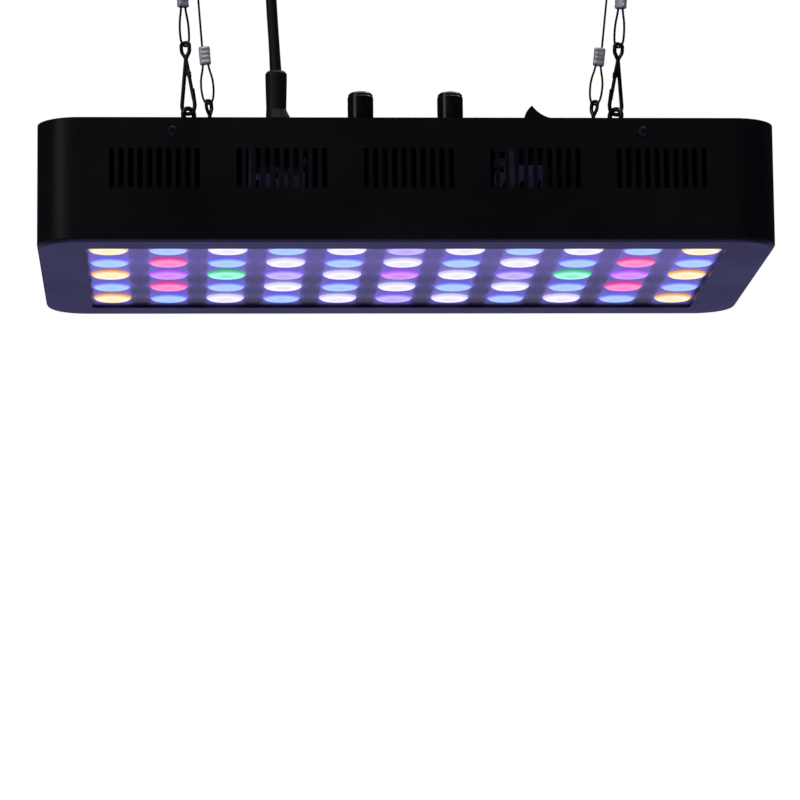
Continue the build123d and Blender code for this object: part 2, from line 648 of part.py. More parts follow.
def mains_plug():
    """A moulded plug lying on the cover, its blades to the left, with a tapered strain relief."""
    relief = loft([Plane.YZ * Circle(4.6), Pos(-24, 0, 0) * (Plane.YZ * Circle(7.0))])
    body = loft([Pos(-24, 0, 0) * (Plane.YZ * RectangleRounded(15, 15, 5)),
                 Pos(-36, 0, 0) * (Plane.YZ * RectangleRounded(24, 20, 6)),
                 Pos(-54, 0, 0) * (Plane.YZ * RectangleRounded(25, 20.4, 5))], ruled=True)
    plug = relief + body
    return Pos(PLUG_X, PLUG_Y, PLUG_Z) * plug


def mains_plug_pins():
    """Two flat blades and a round earth pin."""
    pins = [Pos(-62.5, side * 6.35, -3.0) * Box(17, 1.5, 6.3) for side in (-1, 1)]
    pins.append(Pos(-63.75, 0, 5.6) * Rot(0, 90, 0) * Cylinder(2.4, 19.5))
    return [Pos(PLUG_X, PLUG_Y, PLUG_Z) * pin for pin in pins]


# ---- make every node ----
board = slab(OPENING_X - 1, OPENING_Y - 1, BOARD_Z, SINK_Z, 2) - board_screw_holes()
lens_solid = lens()
emitter_solid = led_emitter()
coil_solid = coil()

write("lower_housing", lower_housing())
write("top_cover", top_cover())
write("cover_screws", *cover_screws())
write("panel_gasket", panel_gasket())
write("lens_plate", lens_plate())
write("led_board", board)
write("heat_sink", heat_sink() - board_screw_holes())
write("board_screws", *board_screws())
write("led_emitters", *[Pos(x, y, 0) * emitter_solid for _, _, x, y in led_places()])
for colour in COLOURS.values():
    places = [(x, y) for column, row, x, y in led_places() if colour_of(column, row) == colour]
    write(f"lenses_{colour}", *[Pos(x, y, 0) * lens_solid for x, y in places])

for side_name, fan_x in (("left", -FAN_X), ("right", FAN_X)):
    write(f"fan_frame_{side_name}", fan_frame(fan_x))
    write(f"fan_rotor_{side_name}", fan_rotor(fan_x))
    write(f"fan_guard_{side_name}", fan_guard(fan_x))
write("fan_screws", *fan_screws())

write("white_driver", driver(-14))
write("blue_driver", driver(22))
write("terminal_block", terminal_block())
write("inlet_socket", inlet_socket())
write("inlet_pins", *inlet_pins())
write("inlet_screws", *inlet_screws())
write("power_connector", power_connector())
write("connector_strain_relief", connector_strain_relief())

write("dimmer_pots", *dimmer_pots())
write("dimmer_nuts", *dimmer_nuts())
for colour, knob_x in KNOB_X.items():
    write(f"{colour}_dimmer_knob", dimmer_knob(knob_x))
    write(f"{colour}_dimmer_shaft", dimmer_shaft(knob_x))
write("switch_body", switch_body())
write("switch_rocker", switch_rocker())

hook_frame = snap_hook_frame()
hook_gate = snap_hook_gate()
hook_rivet = gate_rivet()
chains = CHAINS.values()
write("eye_bolts", *[eye_bolt(chain) for chain in chains])
write("eye_bolt_nuts", *[eye_nut(chain) for chain in chains])
write("snap_hook_frames", *[placed_hook(chain, hook_frame) for chain in chains])
write("gate_rivets", *[placed_hook(chain, hook_rivet) for chain in chains])
write("wire_ferrules", *[sleeve for chain in chains for sleeve in ferrules(chain)])
write("ceiling_hooks", *[ceiling_hook(chain) for chain in chains])
for name, chain in CHAINS.items():
    write(f"gate_{name}", placed_hook(chain, hook_gate))
    write(f"wire_{name}", suspension_wire(f"wire_{name}", chain))

write("power_cord", routed("power_cord", cord_points(), CORD_R) - coil_solid,
      routed("power_cord_tail", tail_points(), CORD_R) - coil_solid)
write("power_cord_coil", coil_solid)
write("cord_tie", cord_tie())
write("mains_plug", mains_plug())
write("mains_plug_pins", *mains_plug_pins())

os.makedirs("parts", exist_ok=True)
for name, part in PARTS.items():
    export_step(part, f"parts/{name}.step")
print(len(PARTS), "nodes")
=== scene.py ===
"""A hanging LED aquarium light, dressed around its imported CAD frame. Metres, +Z up, front at -Y."""
import math

import bpy
from mathutils import Matrix, Vector


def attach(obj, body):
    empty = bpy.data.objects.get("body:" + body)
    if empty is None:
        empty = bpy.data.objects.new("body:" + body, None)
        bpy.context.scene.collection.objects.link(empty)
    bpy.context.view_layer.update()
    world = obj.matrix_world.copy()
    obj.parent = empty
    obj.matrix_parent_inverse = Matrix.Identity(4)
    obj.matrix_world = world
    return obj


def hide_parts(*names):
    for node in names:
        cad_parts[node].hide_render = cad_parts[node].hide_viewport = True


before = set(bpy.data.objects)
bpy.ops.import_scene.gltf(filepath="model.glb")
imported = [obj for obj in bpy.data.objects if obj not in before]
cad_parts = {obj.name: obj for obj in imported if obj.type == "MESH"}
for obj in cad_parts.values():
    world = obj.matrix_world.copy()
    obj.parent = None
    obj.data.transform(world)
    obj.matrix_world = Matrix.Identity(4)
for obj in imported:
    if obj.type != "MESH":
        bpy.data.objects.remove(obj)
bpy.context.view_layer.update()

# ---- sizes shared with the CAD, in metres ----
LED_PITCH = (0.03235, 0.0346)
LENS_RADIUS = 0.0107
PLATE_UNDERSIDE = -0.0646
CORD_DIAMETER = 0.006
ROPE_DIAMETER = 0.0012
PULL_HEIGHT = 0.0118
COIL_CENTRE = (0.002, 0.024)
COIL_MIDDLE_R = 0.03475
COIL_LAYERS = (0.0042, 0.0102)
COIL_BOTTOM = 0.0012

# where the two sleeves of a wire begin, measured along it from the pull point
LOWER_SLEEVE = 0.0570
UPPER_SLEEVE = 0.1060

# Each suspension wire: the x and y of its eye bolt, its lean to the side and the turn of its loops about
# it, both in degrees, and the side on which its route starts. "loop" is half the lower loop's width, and
# "raised" is how far the lower sleeve sits above its place in the CAD.
CHAINS = {
    "front_left": {
        "x": -0.1182, "y": -0.076, "lean": -2.9, "side": 1, "turn": 35.0, "loop": 0.0032, "raised": 0.0,
    },
    "front_right": {
        "x": 0.1152, "y": -0.076, "lean": 3.9, "side": -1, "turn": -35.0, "loop": 0.0032, "raised": 0.0,
    },
    "rear_left": {
        "x": -0.1036, "y": 0.058, "lean": -4.4, "side": 1, "turn": -5.0, "loop": 0.0040, "raised": 0.0013,
    },
    "rear_right": {
        "x": 0.1134, "y": 0.058, "lean": 6.4, "side": -1, "turn": 5.0, "loop": 0.0040, "raised": 0.0013,
    },
}


# ---- camera ----
def make_camera():
    """A long lens, a little below the light's underside and left of its middle."""
    data = bpy.data.cameras.new("camera")
    data.sensor_width = 36.0
    data.lens = 190.5
    data.clip_start = 0.1
    data.clip_end = 60.0
    camera = bpy.data.objects.new("camera", data)
    place = (-0.1233, -2.3265, -0.5256)
    heading, rise, roll, upright = -3.02, 9.48, 0.60, 90.0
    turn = (
        Matrix.Rotation(math.radians(heading), 4, "Z")
        @ Matrix.Rotation(math.radians(rise), 4, "X")
        @ Matrix.Rotation(math.radians(roll), 4, "Y")
        @ Matrix.Rotation(math.radians(upright), 4, "X")
    )
    camera.matrix_world = Matrix.Translation(place) @ turn
    bpy.context.scene.collection.objects.link(camera)
    bpy.context.scene.camera = camera


# ---- making pieces ----
def link(name, data):
    """A new object in the scene that shows the given data."""
    piece = bpy.data.objects.new(name, data)
    bpy.context.scene.collection.objects.link(piece)
    return piece


def mesh_piece(name, points, faces):
    """A smooth mesh object from its points and faces."""
    mesh = bpy.data.meshes.new(name)
    mesh.from_pydata([tuple(point) for point in points], [], faces)
    mesh.polygons.foreach_set("use_smooth", [True] * len(mesh.polygons))
    mesh.update()
    return link(name, mesh)


def finish_piece(piece, material, slot, *replaced):
    """Gives a new piece its material and the body it rides on, and hides the CAD parts it stands for."""
    piece.data.materials.append(material)
    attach(piece, "root")
    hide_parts(*replaced)


def nurbs_curve(name, route):
    """A curve of one open NURBS spline with the route's points as its control points."""
    data = bpy.data.curves.new(name, "CURVE")
    data.dimensions = "3D"
    spline = data.splines.new("NURBS")
    spline.points.add(len(route) - 1)
    for control, point in zip(spline.points, route):
        control.co = (*point, 1.0)
    spline.order_u = 3
    spline.use_endpoint_u = True
    return data


def line_of(route, resolution):
    """The points of a route's NURBS spline, as Blender works them out."""
    data = nurbs_curve("route", route)
    data.resolution_u = resolution
    data.splines[0].resolution_u = resolution
    curve = link("route", data)
    mesh = bpy.data.meshes.new_from_object(curve)
    line = [vertex.co.copy() for vertex in mesh.vertices]
    bpy.data.objects.remove(curve)
    bpy.data.curves.remove(data)
    bpy.data.meshes.remove(mesh)
    return line


def swept_frames(line):
    """Each point of a line with two directions across it, turning as little as they can."""
    ahead = (line[1] - line[0]).normalized()
    across = ahead.orthogonal().normalized()
    frames = []
    for index, here in enumerate(line):
        before = line[max(index - 1, 0)]
        after = line[min(index + 1, len(line) - 1)]
        ahead = (after - before).normalized()
        across = (across - ahead * across.dot(ahead)).normalized()
        frames.append((here, across, ahead.cross(across)))
    return frames


def closed_rings(rings):
    """Points and faces of a skin over rings of equal size, with both ends closed."""
    count = len(rings[0])
    points = [point for ring in rings for point in ring]
    faces = []
    for row in range(len(rings) - 1):
        for index in range(count):
            start = row * count + index
            following = row * count + (index + 1) % count
            faces.append((start, following, following + count, start + count))
    faces.append(tuple(reversed(range(count))))
    faces.append(tuple(range(len(points) - count, len(points))))
    return points, faces


# ---- mains cord ----
def coil_points():
    """The put-away length: turns inward on the cover, then outward on top of them."""
    start, end, steps = -111.6, 2172.5, 101
    # turns laid inward, turns taken to climb on top of them, and the spacing of the turns
    inward, rise, pitch = 3.083, 0.24, 0.006
    half_width = 0.00925
    outer = COIL_MIDDLE_R + half_width
    inner = COIL_MIDDLE_R - half_width
    # the curve runs a little inside its control points, so they stand out by this factor
    control_outset = 1.019
    points = []
    for step in range(1, steps + 1):
        swept = step * (end - start) / steps
        angle = math.radians(start + swept)
        turned = swept / 360
        climbed = min(max((turned - inward) / rise, 0.0), 1.0)
        if turned < inward:
            radius = outer - pitch * turned
        else:
            radius = inner + pitch * max(turned - inward - rise, 0.0)
        radius *= control_outset
        height = COIL_LAYERS[0] + climbed * (COIL_LAYERS[1] - COIL_LAYERS[0])
        points.append((
            COIL_CENTRE[0] + radius * math.cos(angle),
            COIL_CENTRE[1] + radius * math.sin(angle),
            height,
        ))
    return points


def make_power_cord(material):
    """Up from the connector's neck, over in an arch, down to the coil and out to the plug."""
    rise = [
        (-0.0701, -0.0610, 0.0362), (-0.0718, -0.0610, 0.0620), (-0.0734, -0.0612, 0.0930),
        (-0.0733, -0.0484, 0.1122), (-0.0728, -0.0276, 0.1194), (-0.0720, -0.0068, 0.1124),
        (-0.0711, 0.0060, 0.0945), (-0.0693, 0.0064, 0.0630), (-0.0685, 0.0046, 0.0300),
        (-0.0601, 0.0013, 0.0136), (-0.0453, -0.0046, 0.0042), (-0.0298, -0.0113, 0.0042),
        (-0.0142, -0.0170, 0.0042),
    ]
    tail = [
        (0.0380, 0.0492, 0.0102), (0.0275, 0.0644, 0.0103), (0.0135, 0.0760, 0.0103),
        (-0.0040, 0.0820, 0.0104), (-0.0220, 0.0820, 0.0104),
    ]
    data = nurbs_curve("power_cord_run", rise + coil_points() + tail)
    data.resolution_u = 8
    data.splines[0].resolution_u = 8
    data.bevel_depth = CORD_DIAMETER / 2
    data.bevel_resolution = 6
    data.use_fill_caps = True
    cord = link("power_cord_run", data)
    finish_piece(cord, material, "cord_rubber", "power_cord", "power_cord_coil")


def make_cord_tie(material):
    """A hook-and-loop strap wound once round the coil's section, its end lapped over the top."""
    half_x, half_z, half_width = 0.0129, 0.0066, 0.005
    centre = Vector((COIL_CENTRE[0] - COIL_MIDDLE_R, COIL_CENTRE[1], COIL_BOTTOM + 0.0062))
    steps = 56
    # in turns: how far the end laps over the start, and where it begins to climb onto it
    lap, climb_start = 0.28, 0.93
    start_angle, lap_lift = 0.9, 0.00045
    squareness = 0.42
    # each face of the strap: which way its points run across, and its distance out, halved at its edges
    strap_faces = ((1, 0.00035), (-1, -0.00012))
    edge_start = 0.93
    rings = []
    for step in range(steps + 1):
        turned = (1.0 + lap) * step / steps
        angle = 2 * math.pi * turned + start_angle
        climbed = min(max(turned - climb_start, 0.0) / (1.0 - climb_start), 1.0)
        cos, sin = math.cos(angle), math.sin(angle)
        x = half_x * math.copysign(abs(cos) ** squareness, cos)
        z = half_z * math.copysign(abs(sin) ** squareness, sin)
        out = Vector((x / half_x**2, 0, z / half_z**2)).normalized()
        middle = centre + Vector((x, 0, z)) + out * lap_lift * climbed
        ring = []
        for direction, depth in strap_faces:
            for across in (-1.0, -edge_start, edge_start, 1.0):
                share = 0.5 if abs(across) == 1.0 else 1.0
                sideways = Vector((0, direction * across * half_width, 0))
                ring.append(middle + sideways + out * depth * share)
        rings.append(ring)
    tie = mesh_piece("coil_strap", *closed_rings(rings))
    finish_piece(tie, material, "tie_fabric", "cord_tie")
    return tie


# ---- suspension wires ----
def chain_matrix(chain):
    """Origin at the pull point on the eye bolt, z along the wire, x in the plane of its loops."""
    return (
        Matrix.Translation((chain["x"], chain["y"], PULL_HEIGHT))
        @ Matrix.Rotation(math.radians(chain["lean"]), 4, "Y")
        @ Matrix.Rotation(math.radians(chain["turn"]), 4, "Z")
    )


def wire_route(chain):
    """Lower loop, straight pull and upper loop of one wire rope."""
    loop = chain["loop"]
    raised = chain["raised"]
    lower_sleeve = LOWER_SLEEVE + raised
    widest = 0.0470 + raised / 2
    half_gap = 0.0011
    outline = [
        (half_gap, 0.0666 + raised), (half_gap, lower_sleeve), (loop, widest),
        (0.0027, 0.03495), (-0.0027, 0.03495),
        (-loop, widest), (-half_gap, lower_sleeve), (-half_gap, 0.0672 + raised),
        (-half_gap, 0.1070), (-half_gap, 0.1165), (-0.0029, 0.1260), (-0.0027, 0.1395),
        (0.0027, 0.1395), (0.0029, 0.1260), (half_gap, 0.1165), (half_gap, 0.1070),
    ]
    return [chain_matrix(chain) @ Vector((chain["side"] * u, 0, v)) for u, v in outline]


def make_rope(name, chain, material):
    """Six strands laid round a core, twisted along the wire."""
    strand_count, lay = 6, 0.0085
    strand_r = ROPE_DIAMETER * 0.18
    strand_place = ROPE_DIAMETER * 0.36
    sides_each = 4
    sides = sides_each * strand_count
    half_share = math.pi / strand_count
    line = line_of(wire_route(chain), 40)
    rings = []
    travelled = 0.0
    last = line[0]
    for here, across, up in swept_frames(line):
        travelled += (here - last).length
        last = here
        twist = 2 * math.pi * travelled / lay
        ring = []
        for index in range(sides):
            angle = 2 * math.pi * index / sides
            from_strand = (index % sides_each) * 2 * half_share / sides_each
            if from_strand > half_share:
                from_strand -= 2 * half_share
            reach = strand_place * math.cos(from_strand)
            depth = strand_r**2 - (strand_place * math.sin(from_strand)) ** 2
            reach += math.sqrt(max(depth, 0.0))
            direction = across * math.cos(angle + twist) + up * math.sin(angle + twist)
            ring.append(here + direction * reach)
        rings.append(ring)
    rope = mesh_piece(f"wire_rope_{name}", *closed_rings(rings))
    finish_piece(rope, material, "wire_rope", f"wire_{name}")


def make_sleeves(name, chain, material):
    """The two crimped sleeves of one wire: oval tubes with pressed bands and turned-in ends."""
    half_u, half_w, height = 0.00325, 0.0020, 0.0105
    # (height along the sleeve, how far it is pressed in, how far the end is drawn in)
    profile = [
        (0.00, 0.0, 0.62), (0.00, 0.0, 0.86), (0.04, 0.0, 1.0), (0.16, 0.0, 1.0), (0.20, 1.0, 1.0),
        (0.32, 1.0, 1.0), (0.36, 0.0, 1.0), (0.43, 0.0, 1.0), (0.47, 1.0, 1.0), (0.56, 1.0, 1.0),
        (0.60, 0.0, 1.0), (0.67, 0.0, 1.0), (0.71, 1.0, 1.0), (0.80, 1.0, 1.0), (0.84, 0.0, 1.0),
        (0.96, 0.0, 1.0), (1.00, 0.0, 0.86), (1.00, 0.0, 0.62),
    ]
    band_depth, side_share = 0.00016, 0.4
    squareness, count = 0.55, 40
    points, faces = [], []
    for low in (LOWER_SLEEVE + chain["raised"], UPPER_SLEEVE):
        rings = []
        for along, press, draw in profile:
            ring = []
            for index in range(count):
                angle = 2 * math.pi * index / count
                cos, sin = math.cos(angle), math.sin(angle)
                u = (half_u - press * band_depth * side_share) * math.copysign(abs(cos) ** squareness, cos)
                w = (half_w - press * band_depth) * math.copysign(abs(sin) ** squareness, sin)
                place = Vector((u * draw, w * draw, low + along * height))
                ring.append(chain_matrix(chain) @ place)
            rings.append(ring)
        ring_points, ring_faces = closed_rings(rings)
        faces += [tuple(len(points) + corner for corner in face) for face in ring_faces]
        points += ring_points
    sleeves = mesh_piece(f"crimp_sleeves_{name}", points, faces)
    finish_piece(sleeves, material, "ferrule_aluminium", "wire_ferrules")
    return sleeves


# ---- node helpers ----
def new_material(name):
    """A node material: its tree and its Principled shader."""
    material = bpy.data.materials.new(name)
    material.use_nodes = True
    return material, material.node_tree, material.node_tree.nodes["Principled BSDF"]


def add(tree, kind, inputs=(), **settings):
    """Adds a node, sets its settings and joins or fills its inputs."""
    made = tree.nodes.new(kind)
    for key, value in settings.items():
        setattr(made, key, value)
    for key, value in dict(inputs).items():
        if isinstance(value, bpy.types.NodeSocket):
            tree.links.new(value, made.inputs[key])
        else:
            made.inputs[key].default_value = value
    return made


def maths(tree, operation, first, second=0.0, clamp=False):
    """The result of one maths operation."""
    made = add(tree, "ShaderNodeMath", {0: first, 1: second}, operation=operation, use_clamp=clamp)
    return made.outputs[0]


def ramp(tree, factor, stops):
    """A colour ramp over the given (place, colour) stops."""
    made = add(tree, "ShaderNodeValToRGB", {0: factor})
    elements = made.color_ramp.elements
    while len(elements) < len(stops):
        elements.new(0.5)
    for element, (place, colour) in zip(elements, stops):
        element.position = place
        element.color = (*colour, 1.0)
    return made.outputs[0]


def map_range(tree, value, start, end, low=0.0, high=1.0, **settings):
    """low at start, high at end, clamped beyond both."""
    inputs = {0: value, 1: start, 2: end, 3: low, 4: high}
    return add(tree, "ShaderNodeMapRange", inputs, **settings).outputs[0]


def remap(tree, value, low, high):
    """A noise-like value, 0.3 to 0.7, stretched to run from low to high."""
    return map_range(tree, value, 0.3, 0.7, low, high)


def smooth(tree, value, start, end):
    """0 at start, 1 at end, with a soft step between."""
    return map_range(tree, value, start, end, interpolation_type="SMOOTHSTEP")


def blend_colours(tree, factor, first, second):
    """The first colour where the factor is 0 and the second where it is 1."""
    made = add(tree, "ShaderNodeMix", {0: factor, 6: first, 7: second}, data_type="RGBA")
    return made.outputs[2]


def object_place(tree):
    """A point's place in its object's own coordinates."""
    return add(tree, "ShaderNodeTexCoord").outputs["Object"]


def stretched(tree, scale):
    """Object coordinates stretched by a scale for each axis, for streaks."""
    return add(tree, "ShaderNodeMapping", {"Vector": object_place(tree), "Scale": scale}).outputs[0]


def noise(tree, place, scale, detail=3.0, roughness=0.5):
    """A cloudy value about 0.5."""
    inputs = {"Vector": place, "Scale": scale, "Detail": detail, "Roughness": roughness}
    return add(tree, "ShaderNodeTexNoise", inputs).outputs["Fac"]


def bump(tree, shader, height, strength, distance):
    """Gives a shader a bumpy surface."""
    made = add(tree, "ShaderNodeBump", {"Height": height, "Strength": strength, "Distance": distance})
    tree.links.new(made.outputs[0], shader.inputs["Normal"])


def glow_with(tree, shader, colour, strength):
    """Makes a shader give out light of a colour and strength worked out by nodes."""
    tree.links.new(colour, shader.inputs["Emission Color"])
    tree.links.new(strength, shader.inputs["Emission Strength"])


def grained(name, dark, light, roughness, grain,
            metallic=0.0, patch=60.0, coat=0.0, stretch=None, gloss=0.5):
    """A surface with a fine grain, slow colour patches and uneven gloss.

    grain is (scale per metre, bump strength, bump depth in metres) and roughness is (low, high)."""
    material, tree, shader = new_material(name)
    place = object_place(tree) if stretch is None else stretched(tree, stretch)
    slow = noise(tree, place, patch, 4.0, 0.6)
    fine = noise(tree, place, grain[0], 3.0, 0.6)
    mixed = maths(tree, "ADD", maths(tree, "MULTIPLY", slow, 0.7), maths(tree, "MULTIPLY", fine, 0.3))
    tree.links.new(ramp(tree, mixed, [(0.35, dark), (0.65, light)]), shader.inputs["Base Color"])
    tree.links.new(remap(tree, slow, *roughness), shader.inputs["Roughness"])
    shader.inputs["Metallic"].default_value = metallic
    shader.inputs["Specular IOR Level"].default_value = gloss
    shader.inputs["Coat Weight"].default_value = coat
    bump(tree, shader, fine, grain[1], grain[2])
    return material


# ---- LED lenses and their panel ----
def led_offset(tree):
    """How far a place is from the nearest LED's axis, in all and along x, and its own x, y and z.

    The distances are in lens radii and have no sign."""
    split = add(tree, "ShaderNodeSeparateXYZ", {0: object_place(tree)})
    parts = []
    for axis in (0, 1):
        steps = maths(tree, "DIVIDE", split.outputs[axis], LED_PITCH[axis])
        away = maths(tree, "SUBTRACT", steps, maths(tree, "ROUND", steps))
        parts.append(maths(tree, "MULTIPLY", away, LED_PITCH[axis] / LENS_RADIUS))
    flat = add(tree, "ShaderNodeCombineXYZ", {0: parts[0], 1: parts[1]})
    length = add(tree, "ShaderNodeVectorMath", {0: flat.outputs[0]}, operation="LENGTH")
    return length.outputs["Value"], maths(tree, "ABSOLUTE", parts[0]), split


def lens_material(colour_name, heart, body, edge):
    """A lit lens: a quieter middle, bright towards its rim, coloured at its edge, with a pebbled face."""
    material, tree, shader = new_material(f"lit_lens_{colour_name}")
    away, _, split = led_offset(tree)
    glow = ramp(tree, away, [(0.0, heart), (0.22, heart), (0.62, body), (0.88, body), (0.99, edge)])
    inputs = {"Vector": object_place(tree), "Scale": 900.0}
    pebbles = add(tree, "ShaderNodeTexVoronoi", inputs, feature="SMOOTH_F1").outputs["Distance"]
    facets = map_range(tree, pebbles, 0.0, 0.8, 1.05, 0.92)
    # lit only below the panel, with a soft step this far either side of its underside
    fade = 0.0006
    outside = smooth(tree, split.outputs[2], PLATE_UNDERSIDE + fade, PLATE_UNDERSIDE - fade)
    glow_with(tree, shader, glow, maths(tree, "MULTIPLY", facets, outside))
    shader.inputs["Base Color"].default_value = (*[0.10 * part for part in body], 1.0)
    shader.inputs["Roughness"].default_value = 0.18
    bump(tree, shader, pebbles, 0.25, 0.0002)
    return material


# each colour of LED: its lens at the heart, over most of its face and at the edge
LENS_COLOURS = {
    "warm_white": ((0.98, 0.77, 0.30), (1.00, 0.87, 0.45), (0.95, 0.42, 0.10)),
    "blue": ((0.29, 0.53, 0.66), (0.36, 0.55, 1.00), (0.16, 0.16, 0.98)),
    "white": ((0.74, 0.72, 0.80), (0.88, 0.86, 0.98), (0.62, 0.60, 0.98)),
    "violet": ((0.42, 0.32, 0.90), (0.52, 0.42, 1.00), (0.26, 0.14, 0.92)),
    "red": ((0.96, 0.15, 0.36), (1.00, 0.22, 0.48), (0.84, 0.06, 0.26)),
    "magenta": ((0.57, 0.16, 0.96), (0.62, 0.24, 1.00), (0.44, 0.10, 0.96)),
    "green": ((0.17, 0.74, 0.34), (0.31, 0.96, 0.62), (0.06, 0.62, 0.22)),
}


def panel_material():
    """The dark panel: brushed grain, and the lenses' violet light spread over it."""
    material, tree, shader = new_material("dark_glossy_panel")
    away, across, split = led_offset(tree)
    grain = noise(tree, stretched(tree, (1.0, 40.0, 1.0)), 260.0, 2.0)
    tree.links.new(ramp(tree, grain, [(0.3, (0.020, 0.020, 0.024)), (0.7, (0.032, 0.032, 0.038))]),
                   shader.inputs["Base Color"])
    tree.links.new(remap(tree, grain, 0.24, 0.34), shader.inputs["Roughness"])
    half_depth = 0.0855
    toward_back = map_range(tree, split.outputs[1], -half_depth, half_depth)
    # painted light: the lenses' glow laid on the panel between the columns of LEDs, from front to back
    gap = ramp(tree, toward_back, [
        (0.36, (0.048, 0.032, 0.140)), (0.60, (0.000, 0.000, 0.000)), (0.82, (0.000, 0.002, 0.000)),
        (0.95, (0.050, 0.044, 0.045)),
    ])
    # painted light: a strip of glow along each column of LEDs and a halo round each lens
    strip = smooth(tree, across, 1.10, 0.90)
    halo = maths(tree, "POWER", maths(tree, "DIVIDE", 1.0, maths(tree, "MAXIMUM", away, 1.0)), 6.0)
    column_light = maths(tree, "MULTIPLY", strip, 0.40)
    lens_light = maths(tree, "MULTIPLY", halo, 0.60)
    lit = maths(tree, "ADD", column_light, lens_light, clamp=True)
    glow = blend_colours(tree, lit, gap, (0.175, 0.125, 0.66, 1.0))
    # painted shade: close behind the front lip the panel's painted glow is cut and its reflection taken
    # away
    past_lip = smooth(tree, toward_back, 0.075, 0.125)
    underside = maths(tree, "LESS_THAN", split.outputs[2], PLATE_UNDERSIDE + 0.0003)
    glow_with(tree, shader, glow, maths(tree, "MULTIPLY", past_lip, underside))
    tree.links.new(maths(tree, "MULTIPLY", past_lip, 0.27), shader.inputs["Specular IOR Level"])
    bump(tree, shader, grain, 0.05, 0.0002)
    return material


def lit_gasket():
    """The foam frame in the recess, black, with each LED column's violet light on its opening side."""
    material, tree, shader = new_material("gasket_foam")
    _, across, split = led_offset(tree)
    cells = noise(tree, object_place(tree), 1800.0)
    tree.links.new(ramp(tree, cells, [(0.3, (0.010, 0.010, 0.010)), (0.7, (0.022, 0.022, 0.022))]),
                   shader.inputs["Base Color"])
    shader.inputs["Roughness"].default_value = 0.9
    glow = blend_colours(tree, smooth(tree, across, 1.25, 0.7),
                         (0.018, 0.018, 0.060, 1.0), (0.095, 0.080, 0.420, 1.0))
    gasket_thickness = 0.0019
    # just past the faces round the gasket's opening
    half_openings = (0.1745, 0.0868)
    seen = smooth(tree, split.outputs[2], PLATE_UNDERSIDE - gasket_thickness, PLATE_UNDERSIDE)
    for axis, half_opening in enumerate(half_openings):
        inside = maths(tree, "LESS_THAN", maths(tree, "ABSOLUTE", split.outputs[axis]), half_opening)
        seen = maths(tree, "MULTIPLY", seen, inside)
    glow_with(tree, shader, glow, seen)
    bump(tree, shader, cells, 0.6, 0.0004)
    return material


# ---- other special materials ----
def powder_coat():
    """Satin black powder coat: orange-peel texture, faint patches and a few pale specks of dust."""
    material, tree, shader = new_material("black_powder_coat_paint")
    place = object_place(tree)
    peel = noise(tree, place, 1500.0, 2.0)
    slow = noise(tree, place, 14.0, 4.0, 0.65)
    specks = add(tree, "ShaderNodeTexVoronoi", {"Vector": place, "Scale": 95.0}).outputs["Distance"]
    dust = map_range(tree, specks, 0.035, 0.02, 0.0, 0.22)
    paint = ramp(tree, slow, [(0.3, (0.0038, 0.0038, 0.0037)), (0.7, (0.0058, 0.0058, 0.0056))])
    dusty = blend_colours(tree, dust, paint, (0.12, 0.12, 0.12, 1.0))
    tree.links.new(dusty, shader.inputs["Base Color"])
    tree.links.new(remap(tree, slow, 0.36, 0.46), shader.inputs["Roughness"])
    shader.inputs["Specular IOR Level"].default_value = 0.20
    bump(tree, shader, peel, 0.16, 0.0002)
    return material


def woven_strap():
    """Black hook-and-loop strap: a tight weave with a slight sheen."""
    material, tree, shader = new_material("woven_strap")
    place = object_place(tree)
    waves = []
    for direction in ("X", "Y"):
        inputs = {"Vector": place, "Scale": 340.0, "Distortion": 0.4, "Detail": 1.0}
        wave = add(tree, "ShaderNodeTexWave", inputs, bands_direction=direction)
        waves.append(wave.outputs["Fac"])
    weave = maths(tree, "MULTIPLY", waves[0], waves[1])
    tree.links.new(ramp(tree, weave, [(0.0, (0.010, 0.010, 0.011)), (0.8, (0.035, 0.035, 0.038))]),
                   shader.inputs["Base Color"])
    shader.inputs["Roughness"].default_value = 0.85
    shader.inputs["Sheen Weight"].default_value = 0.25
    bump(tree, shader, weave, 0.6, 0.0003)
    return material


def circuit_board():
    """White solder mask with faint tracks under it."""
    material, tree, shader = new_material("white_circuit_board")
    tracks = add(tree, "ShaderNodeTexBrick", {
        "Vector": object_place(tree), "Scale": 60.0, "Mortar Size": 0.03,
        "Color1": (0.78, 0.79, 0.80, 1.0), "Color2": (0.74, 0.76, 0.77, 1.0),
        "Mortar": (0.62, 0.63, 0.60, 1.0),
    })
    tree.links.new(tracks.outputs["Color"], shader.inputs["Base Color"])
    shader.inputs["Roughness"].default_value = 0.35
    bump(tree, shader, tracks.outputs["Fac"], 0.2, 0.0001)
    return material


